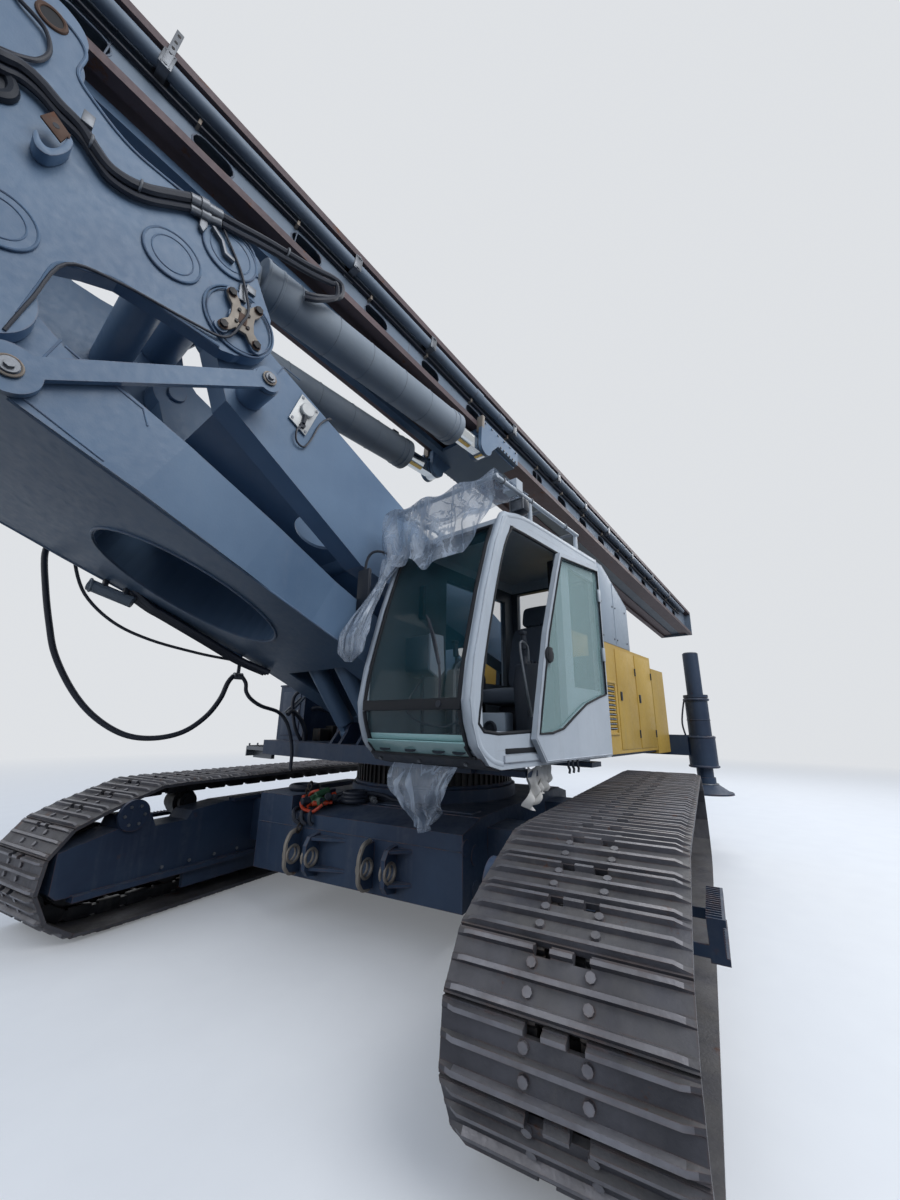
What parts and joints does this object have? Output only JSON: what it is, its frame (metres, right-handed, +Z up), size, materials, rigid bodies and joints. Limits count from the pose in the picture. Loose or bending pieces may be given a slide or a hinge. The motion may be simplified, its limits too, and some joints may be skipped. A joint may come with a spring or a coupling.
{
  "type": "pile driver rig",
  "caption": "Crawler pile driving rig with its leader laid back over the cab on a parallel-linkage boom, with tilt cylinders and rear jacks.",
  "frame": {"origin": "middle of the rig's overall box on the ground, with the leader laid back as stored; the slewing axis stands 2.629 m in front of it and 0.135 m to the right", "axes": "+X to the front of the crawlers, +Y to the machine's left, +Z up; the house and leader are turned -11 degrees from +X"},
  "size_m": [18.3662, 5.6203, 6.8867],
  "materials": {
    "frame_paint": "dark blue-grey paint, worn and dusty",
    "arm_paint": "mid blue-grey paint with rust at edges and pins",
    "house_paint": "ochre yellow paint, dusty",
    "cab_paint": "off-white paint, scuffed",
    "leader_paint": "grey paint, faded",
    "rail_steel": "bare rails with brown rust",
    "track_steel": "worn brown-grey shoe steel",
    "wheel_steel": "dark greased steel",
    "tube_steel": "light grey paint, chalky",
    "rod_chrome": "chromed rod",
    "dark_cast": "dark engine block",
    "cab_glass": "dark greenish glass",
    "seat_fabric": "dark woven fabric",
    "dark_plastic": "black moulded plastic",
    "hose_rubber": "black hose rubber",
    "fitting_steel": "plain steel fitting"
  },
  "bodies": {
    "chassis": {"carbody": "frame_paint", "slew_ring": "wheel_steel", "crawler_frame_left": "frame_paint", "crawler_frame_right": "frame_paint", "track_left": "track_steel", "track_right": "track_steel", "track_wheels_left": "wheel_steel", "track_wheels_right": "wheel_steel", "hose_coil": "hose_rubber"},
    "house": {"upper_frame": "frame_paint", "engine_house": "house_paint", "engine_block": "dark_cast", "counterweight": "house_paint", "right_deck_box": "frame_paint", "right_walkway": "tube_steel", "jack_arms": "frame_paint", "cab_floor": "cab_paint", "cab_frame": "cab_paint", "cab_roof": "cab_paint", "cab_glass": "cab_glass", "cab_seat": "seat_fabric", "cab_controls": "dark_plastic"},
    "cab_door": {"cab_door": "cab_paint", "cab_door_glass": "cab_glass"},
    "jack_left": {"jack_leg_left": "frame_paint"},
    "jack_right": {"jack_leg_right": "frame_paint"},
    "boom": {"boom": "arm_paint", "loop_hose": "hose_rubber", "hose_coupling": "fitting_steel", "drop_hose": "hose_rubber", "thin_hose": "hose_rubber"},
    "boom_barrels": {"boom_barrels": "arm_paint"},
    "boom_rods": {"boom_rods": "rod_chrome"},
    "strut": {"strut": "arm_paint"},
    "links": {"link_bars": "arm_paint"},
    "carrier": {"carrier": "arm_paint"},
    "tilt_barrels": {"tilt_barrels": "tube_steel"},
    "tilt_rods": {"tilt_rods": "tube_steel"},
    "saddle": {"saddle": "arm_paint"},
    "leader": {"mast": "leader_paint", "mast_rails": "rail_steel", "mast_pipe": "leader_paint", "mast_foot": "leader_paint", "mast_head": "leader_paint"},
    "head_sheaves": {"head_sheaves": "wheel_steel"}
  },
  "joints": [
    {"name": "slew", "type": "hinge", "parent": "chassis", "child": "house", "pos_m": [2.62875, -0.13522, 1.2], "axis": [0, 0, 1], "continuous": true},
    {"name": "door_slide", "type": "slide", "parent": "house", "child": "cab_door", "axis": [0.9816, -0.1908, 0], "range_m": [0, 0.62]},
    {"name": "jack_left_slide", "type": "slide", "parent": "house", "child": "jack_left", "axis": [0, 0, -1], "range_m": [0, 0.7]},
    {"name": "jack_right_slide", "type": "slide", "parent": "house", "child": "jack_right", "axis": [0, 0, -1], "range_m": [0, 0.7]},
    {"name": "boom_lift", "type": "hinge", "parent": "house", "child": "boom", "pos_m": [2.82508, -0.17338, 1.62], "axis": [-0.1908, -0.9816, 0], "range_deg": [-8, 25]},
    {"name": "strut_swing", "type": "hinge", "parent": "house", "child": "strut", "pos_m": [1.67657, 0.04987, 2.36], "axis": [-0.1908, -0.9816, 0], "range_deg": [-8, 25]},
    {"name": "carrier_level", "type": "hinge", "parent": "boom", "child": "carrier", "pos_m": [6.7214, -0.93075, 3.61632], "axis": [-0.1908, -0.9816, 0], "range_deg": [-25, 8]},
    {"name": "link_swing", "type": "hinge", "parent": "boom", "child": "links", "pos_m": [6.53563, -0.89463, 3.18], "axis": [-0.1908, -0.9816, 0], "range_deg": [-25, 8]},
    {"name": "boom_barrel_swing", "type": "hinge", "parent": "house", "child": "boom_barrels", "pos_m": [3.65946, -0.33556, 1.56], "axis": [-0.1908, -0.9816, 0], "range_deg": [-10.26, 32.03]},
    {"name": "boom_rod_slide", "type": "slide", "parent": "boom_barrels", "child": "boom_rods", "axis": [0.5859, -0.1139, 0.8024], "range_m": [-0.1112, 0.3453]},
    {"name": "leader_tilt", "type": "hinge", "parent": "carrier", "child": "saddle", "pos_m": [6.79576, -0.9452, 5.49], "axis": [0.1908, 0.9816, 0], "range_deg": [0, 95.4]},
    {"name": "tilt_barrel_swing", "type": "hinge", "parent": "carrier", "child": "tilt_barrels", "pos_m": [5.52455, -0.6981, 5.16], "axis": [0.1908, 0.9816, 0], "range_deg": [0, 105.71]},
    {"name": "tilt_rod_slide", "type": "slide", "parent": "tilt_barrels", "child": "tilt_rods", "axis": [-0.9816, 0.1908, 0.0094], "range_m": [0, 1.8375]},
    {"name": "leader_slide", "type": "slide", "parent": "saddle", "child": "leader", "axis": [0.9773, -0.19, 0.0941], "range_m": [-0.6, 2.4]},
    {"name": "sheave_spin", "type": "hinge", "parent": "leader", "child": "head_sheaves", "pos_m": [-8.96601, 2.11858, 5.08352], "axis": [0.1908, 0.9816, 0], "continuous": true}
  ],
  "couplings": [
    {"joint": "strut_swing", "follows": "boom_lift", "ratio": 1},
    {"joint": "carrier_level", "follows": "boom_lift", "ratio": -1},
    {"joint": "link_swing", "follows": "boom_lift", "ratio": -1},
    {"joint": "boom_barrel_swing", "follows": "boom_lift", "ratio": 1.281},
    {"joint": "boom_rod_slide", "follows": "boom_lift", "m_per_rad": 0.789},
    {"joint": "tilt_barrel_swing", "follows": "leader_tilt", "ratio": 1.108},
    {"joint": "tilt_rod_slide", "follows": "leader_tilt", "m_per_rad": 1.103}
  ]
}
